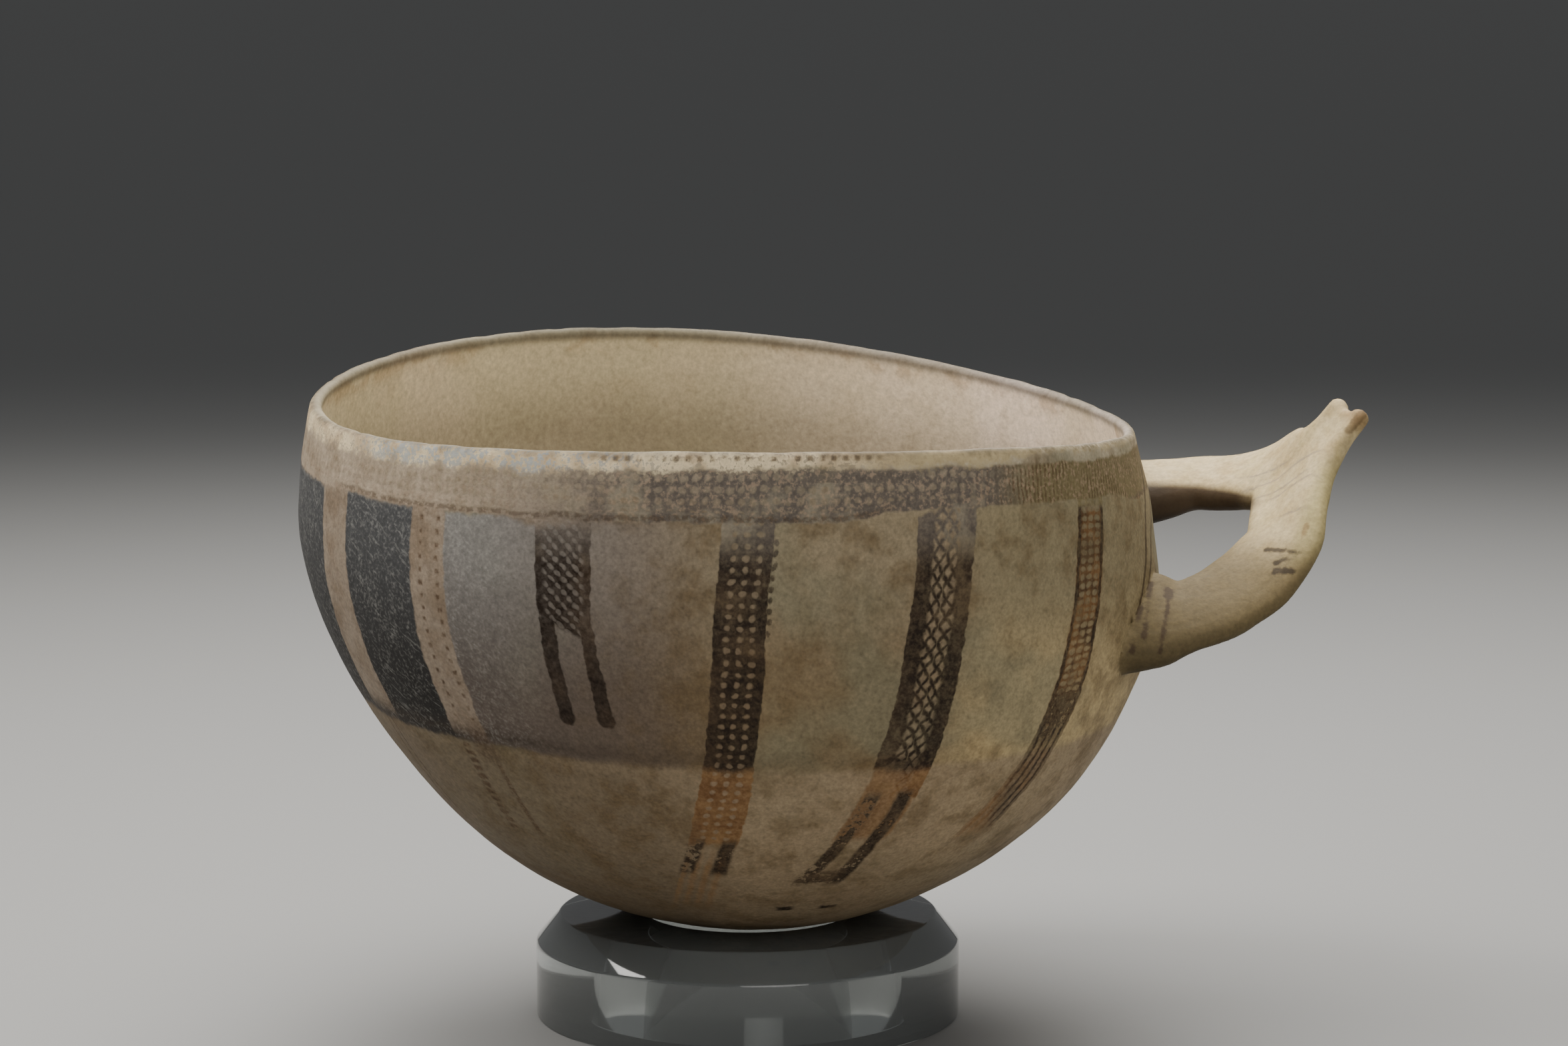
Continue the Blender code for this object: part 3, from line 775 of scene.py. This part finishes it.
# The paint, brown-black where it is thick and grey, olive, rusty or orange as the fire left it.
paint_dark = clay.mix(patchy.rise(0.4, 0.65), PAINT_DARK, PAINT_AND_SHADOW_BROWN)
paint_grey = clay.mix((patchy + mottle * 0.6 + rim_solid * -0.3).rise(0.76, 0.98), PAINT_GREY, PAINT_WORN)
paint_orange = clay.mix(mottle.rise(0.3, 0.7), PAINT_ORANGE, PAINT_OCHRE)
paint_umber = clay.mix(mottle.rise(0.4, 0.6), PAINT_UMBER, PAINT_RUST)
paint_colour = clay.mix(depth.rise(22, 12), paint_dark, paint_grey)
paint_colour = clay.mix(folded.rise(-48, -42) * depth.rise(11, 13), paint_colour, paint_umber)
paint_colour = clay.mix(right_edges * 0.8, paint_colour, PAINT_DARK)
paint_colour = clay.mix(folded.rise(-56, -44) * depth.rise(12.5, 11.0), paint_colour, PAINT_OLIVE)
fired_orange = (depth + (mottle - 0.5) * 5).rise(61, 63.5) * depth.rise(85, 82)
fired_orange = fired_orange * folded.rise(-44, -48) * (1 - net_tail) * (1 - centre_ends)
paint_colour = clay.mix(fired_orange, paint_colour, paint_orange)
paint_colour = clay.mix(folded.rise(-98.0, -130.0) * depth.rise(15, 12), paint_colour, clay.shade(tan, 1.4))
grain = (speck * 0.9 + mottle * 0.4 + fleck * 0.5).rise(1.12, 0.70)
lasting = 0.80 + grain * 0.20 - patchy.rise(0.54, 0.68) * 0.25 - hidden_side * 0.15
painted = paint * lasting
outside = clay.mix(bare_dots * (0.25 + grain * 0.4), slip, BARE_DOT)
outside = clay.mix(centre_trace * mottle, outside, PAINT_OCHRE)
outside = clay.mix(painted, outside, paint_colour)
strip_marks = strip_dots.over(tail_lines).over(tail_smudge * 0.7) * (0.45 + grain * 0.4)
outside = clay.mix(strip_marks, outside, PAINT_UMBER)
rim_mesh = rim_along.cell(1.7).within(0.3, 0.3).over(depth.cell(2.0).within(0.3, 0.3))
rim_mesh = rim_mesh * folded.rise(-100, -118)
outside = clay.mix(rim_mesh * rim_band * mottle * 0.6, outside, PAINT_WORN)
outside = clay.mix(rim_strokes * (mottle + speck).rise(0.8, 1.1) * 0.75, outside, PAINT_UMBER)
rim_specks = (speck * 1.2 + fleck).rise(1.12, 1.34) * rim_band * folded.rise(-112, -100)
outside = clay.mix(rim_specks * 0.5, outside, BARE_DOT)
outside = clay.mix(rim_line * speck.rise(0.36, 0.56) * 0.6, outside, PAINT_AND_SHADOW_BROWN)
outside = clay.shade(outside, 0.27 + speck * 0.8 + fleck * 0.66)

# The bare lip, worn and speckled, and more olive towards the handle. Its top is darkened and its outer side
# lightened as painted shade and painted light.
lip_foot = mottle * 3.0 + speck * 3.5 + fleck * 2.0 - folded.rise(-92, -116) * (patchy * 5 - 1.5)
lip_zone = (depth + lip_foot + folded.rise(-58, -40) * 2.0).rise(7.4, 5.6)
lip = clay.mix(mottle.rise(0.38, 0.62), LIP_CREAM, LIP_TAN)
lip = clay.mix((speck + fleck).rise(1.02, 1.16) * 0.6, lip, PAINT_GREY)
blue_wear = around.rise(-94, -112) * around.rise(-150, -138)
blue_wear = blue_wear * (speck * 1.6 + fleck * 0.6 + patchy * 0.9).rise(1.46, 1.66)
lip = clay.mix(blue_wear * 0.8, lip, LIP_BLUE)
lip = clay.mix(folded.rise(-80, -62) * 0.9, lip, LIP_OLIVE)
# Painted shade on the lip's top and painted light on its outer side.
lip = clay.shade(lip, (0.30 + speck * 0.9 + fleck * 0.5) * (depth.rise(-0.8, 1.0) * 1.15 + 0.36))
outside = clay.mix(lip_zone, outside, lip)

# The inside, pink on the handle's side and olive on the other, with painted light and shade, and a row of
# dots on the lip.
# The pink side is lighter than the olive side, partly its own colour and partly painted light.
inner = clay.mix(x.rise(-20, 70), INSIDE_OLIVE, INSIDE_PINK)
inner = clay.mix(broad.rise(0.38, 0.66) * 0.6, inner, INSIDE_CREAM)
inner = clay.mix(mottle.rise(0.50, 0.75) * 0.35, inner, INSIDE_STAIN)
stains = (patchy + mottle * 0.5).rise(0.76, 0.90) * depth.between(0.5, 4.5, 1.6)
inner = clay.mix(stains * 0.35, inner, INSIDE_RUST)
# Painted light and shade inside: lighter higher up and at the left, darker on the lip's top.
painted_inner_light = z.rise(87, 106) * 0.55 + 0.62 + x.rise(-30, -62) * 0.12 - z.rise(106.8, 108.8) * 0.64
inner = clay.shade(inner, (0.45 + speck * 0.75 + fleck * 0.35) * painted_inner_light)
lip_dots = (angle * 1.5).cell(2.3).within(0.55, 0.35) * z.between(108.7, 109.7, 0.25)
lip_dots = lip_dots * radius.rise(84.9, 85.4) * angle.between(-106, -70, 2.0)
lip_dots = lip_dots * (mottle + speck).rise(0.75, 1.0)

# The bare slip of the handle. Each faint stroke over the plate has a line across it, a start and an end.
PLATE_STROKES = ((118.0, 93, 111), (114.6, 97, 125), (110.0, 105, 124), (108.0, 112, 132), (100.0, 121, 136))
across_plate = x + y + (mottle - 0.5) * 1.2 + (speck - 0.5) * 0.8
along_plate = x - y
brushed = 0.0
for line, first, last in PLATE_STROKES:
    brushed = ((across_plate - line).within(0.3, 0.3) * along_plate.between(first, last, 3.0)).over(brushed)
brushed = brushed * z.rise(90, 92)
cream = clay.mix(mottle.rise(0.4, 0.7), CREAM, CREAM_DEEP)
cream = clay.mix(patchy.rise(0.50, 0.64) * 0.4, cream, CREAM_YELLOW)
cream = clay.mix(brushed * speck.rise(0.3, 0.55) * 0.65, cream, CREAM_STROKE)
outer_edge = (x - y * 0.55).rise(121.5, 127.0) * z.rise(76, 82) * z.rise(106, 99)
cream = clay.mix(outer_edge * 0.8, cream, CREAM_EDGE)
# Browner and darker low on the handle: partly the clay's own tone and partly painted shade.
cream = clay.mix(z.rise(91.5, 80.5), cream, CREAM_ROOT)
cream = clay.mix(stroke((89.5, -22.0, 80.5), (96.0, -20.0, 82.0), 2.2) * 0.5, cream, PAINT_WORN)
cream = clay.mix(stroke((115.9, -19.0, 90.6), (115.3, -20.4, 87.0), 0.7) * 0.5, cream, PAINT_RUST)
scratches = stroke((107.9, -17.7, 85.3), (114.1, -22.5, 85.4), 0.5)
scratches = scratches.over(stroke((109.8, -22.1, 83.2), (113.8, -22.6, 84.2), 0.7))
scratches = scratches.over(stroke((109.6, -23.8, 81.7), (112.8, -24.6, 82.0), 0.85))
cream = clay.mix(scratches * 0.8, cream, PAINT_DARK)
tip_wear = (x * 0.6 + z * 0.8 - 163).rise(-1.2, 2.2) * (y + 1).rise(2.0, -1.0)
tip_wear = tip_wear * (mottle + speck).rise(0.8, 1.05)
cream = clay.mix(tip_wear * 0.5, cream, PAINT_RUST)
cream = clay.mix(stroke((128.5, -3.6, 112.2), (125.4, -5.3, 108.7), 1.0) * 0.55, cream, PAINT_UMBER)
# Painted shade: the handle's slip darkens lower down.
cream = clay.shade(cream, (0.45 + speck * 0.75 + fleck * 0.35) * (z.rise(62, 82) * 0.35 + 0.65))

# All of it put together, with painted shadow under the back strap and on the handle's down-facing sides, and
# a fine bumpy skin.
facing = clay.add("ShaderNodeNewGeometry", {}, {}, 1)
facing_down = clay.add("ShaderNodeSeparateXYZ", {}, {0: facing}).output(2).rise(-0.25, -0.85)
colour = clay.mix(inside, outside, inner)
# Painted shade: the top of the far lip is darkened.
colour = clay.shade(colour, 1 - hidden_side * z.rise(107.4, 108.8) * 0.3)
colour = clay.mix(lip_dots * 0.7, colour, PAINT_AND_SHADOW_BROWN)
colour = clay.mix(handle_part, colour, cream)
colour = clay.mix(root_lines * 0.8, colour, PAINT_AND_SHADOW_BROWN)
# Painted shadow: the back strap's lower half and the handle's down-facing sides are laid brown and darkened
# where shade falls under them.
painted_shadow_under_strap = z.rise(93.0, 91.4).over(facing_down) * handle_part.rise(0.0, 0.3) * y.rise(-3, 2)
colour = clay.mix(painted_shadow_under_strap * (0.95 - x.rise(104, 110) * 0.45), colour, PAINT_AND_SHADOW_BROWN)
colour = clay.shade(colour, 1 - facing_down * handle_part * 0.3 - painted_shadow_under_strap * x.rise(97, 86) * 0.35)
height = speck * 0.07 + fleck * 0.03 + mottle * 0.12 - painted * (1 - inside) * 0.02
bumps = clay.add("ShaderNodeBump", {}, {"Strength": 1.0, "Distance": 0.001, "Height": height})
clay.set(Base_Color=colour, Roughness=0.58 + mottle * 0.25, Specular_IOR_Level=0.2, Normal=bumps)
bowl.data.materials.clear()
bowl.data.materials.append(clay.material)
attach(bowl, "root")
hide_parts("wishbone_handle_bowl")

# The ring stand
# A stock ring of cast acrylic, turned and polished clear, with a wide bevel round its top and its
# sharp corners just broken. The bowl only rests in its bore.
RING_BORE_RADIUS = 0.0215
RING_BEVEL_WIDTH = 0.005
RING_BEVEL_HEIGHT = 0.0057
RING_EDGE_BREAK = 0.0004
RING_BORE_BREAK = 0.0001
RING_SEGMENTS = 256
ring_radius = (ring_high.x - ring_low.x) / 2
ring_section = [
    (RING_BORE_RADIUS, ring_high.z),
    (ring_radius - RING_BEVEL_WIDTH, ring_high.z),
    (ring_radius, ring_high.z - RING_BEVEL_HEIGHT),
    (ring_radius, 0.0),
    (RING_BORE_RADIUS, 0.0),
]
ring_shape = spun(ring_section, True, RING_SEGMENTS)
for at_bore, edge_break in ((True, RING_BORE_BREAK), (False, RING_EDGE_BREAK)):
    corners = [
        edge for edge in ring_shape.edges
        if edge.calc_face_angle() > math.radians(20)
        and (edge.verts[0].co.xy.length < RING_BORE_RADIUS * 1.02) == at_bore
    ]
    bmesh.ops.bevel(
        ring_shape, geom=corners, offset=edge_break, segments=3, profile=0.5, affect="EDGES", material=-1,
    )
bmesh.ops.translate(ring_shape, vec=ring_middle, verts=ring_shape.verts)
ring = new_object("clear_ring", ring_shape)
ring.data.shade_smooth()
ring.data.set_sharp_from_angle(angle=math.radians(25))
acrylic = Finish("clear_acrylic")
acrylic.set(Base_Color=(0.46, 0.49, 0.48), Roughness=0.05, IOR=1.49, Transmission_Weight=0.8)
ring.data.materials.append(acrylic.material)
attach(ring, "root")
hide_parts("ring_stand")

# The floor, the light and the camera
# A plain pale floor that runs back past the view, a broad soft light overhead with weaker ones behind,
# at the left and in front, a dim even room, and the camera where the photograph was taken from.
FLOOR_RADIUS = 40
LIT_HEIGHT = 0.07
CAMERA_PLACE = (-0.01022, -0.89853, 0.22103)
CAMERA_DOWN = math.radians(7.45)
CAMERA_LENS, CAMERA_SENSOR = 100, 36
floor_shape = bmesh.new()
bmesh.ops.create_circle(floor_shape, cap_ends=True, segments=64, radius=FLOOR_RADIUS)
floor = new_object("floor", floor_shape)
floor_finish = Finish("pale_floor")
floor_finish.set(Base_Color=(0.24, 0.24, 0.235), Roughness=0.9)
floor.data.materials.append(floor_finish.material)


def soft_light(name, place, size, power, colour, spread=180):
    """A square area light that faces the bowl."""
    light = bpy.data.lights.new(name, "AREA")
    light.size = size
    light.energy = power
    light.color = colour
    light.spread = math.radians(spread)
    item = bpy.data.objects.new(name, light)
    item.location = place
    item.visible_camera = False
    item.rotation_euler = (Vector((0, 0, LIT_HEIGHT)) - Vector(place)).to_track_quat("-Z", "Y").to_euler()
    bpy.context.scene.collection.objects.link(item)


soft_light("overhead", (0.0, 0.10, 1.30), 1.4, 8.8, (1.0, 0.97, 0.93), 75)
soft_light("behind", (0.10, 0.90, 1.10), 0.8, 3.5, (1.0, 0.97, 0.93), 75)
soft_light("left_key", (-0.90, 0.0, 1.2), 0.6, 2.8, (1.0, 0.97, 0.93), 70)
soft_light("front_fill", (0.30, -1.2, 0.24), 0.8, 1.2, (1.0, 0.97, 0.94), 70)
world = bpy.data.worlds.new("room")
world.use_nodes = True
world.node_tree.nodes["Background"].inputs["Color"].default_value = (0.60, 0.61, 0.62, 1)
world.node_tree.nodes["Background"].inputs["Strength"].default_value = 0.30
bpy.context.scene.world = world

camera = bpy.data.cameras.new("camera")
camera.lens = CAMERA_LENS
camera.sensor_width = CAMERA_SENSOR
camera_item = bpy.data.objects.new("camera", camera)
camera_item.location = CAMERA_PLACE
camera_item.rotation_euler = (math.radians(90) - CAMERA_DOWN, 0, 0)
bpy.context.scene.collection.objects.link(camera_item)
bpy.context.scene.camera = camera_item
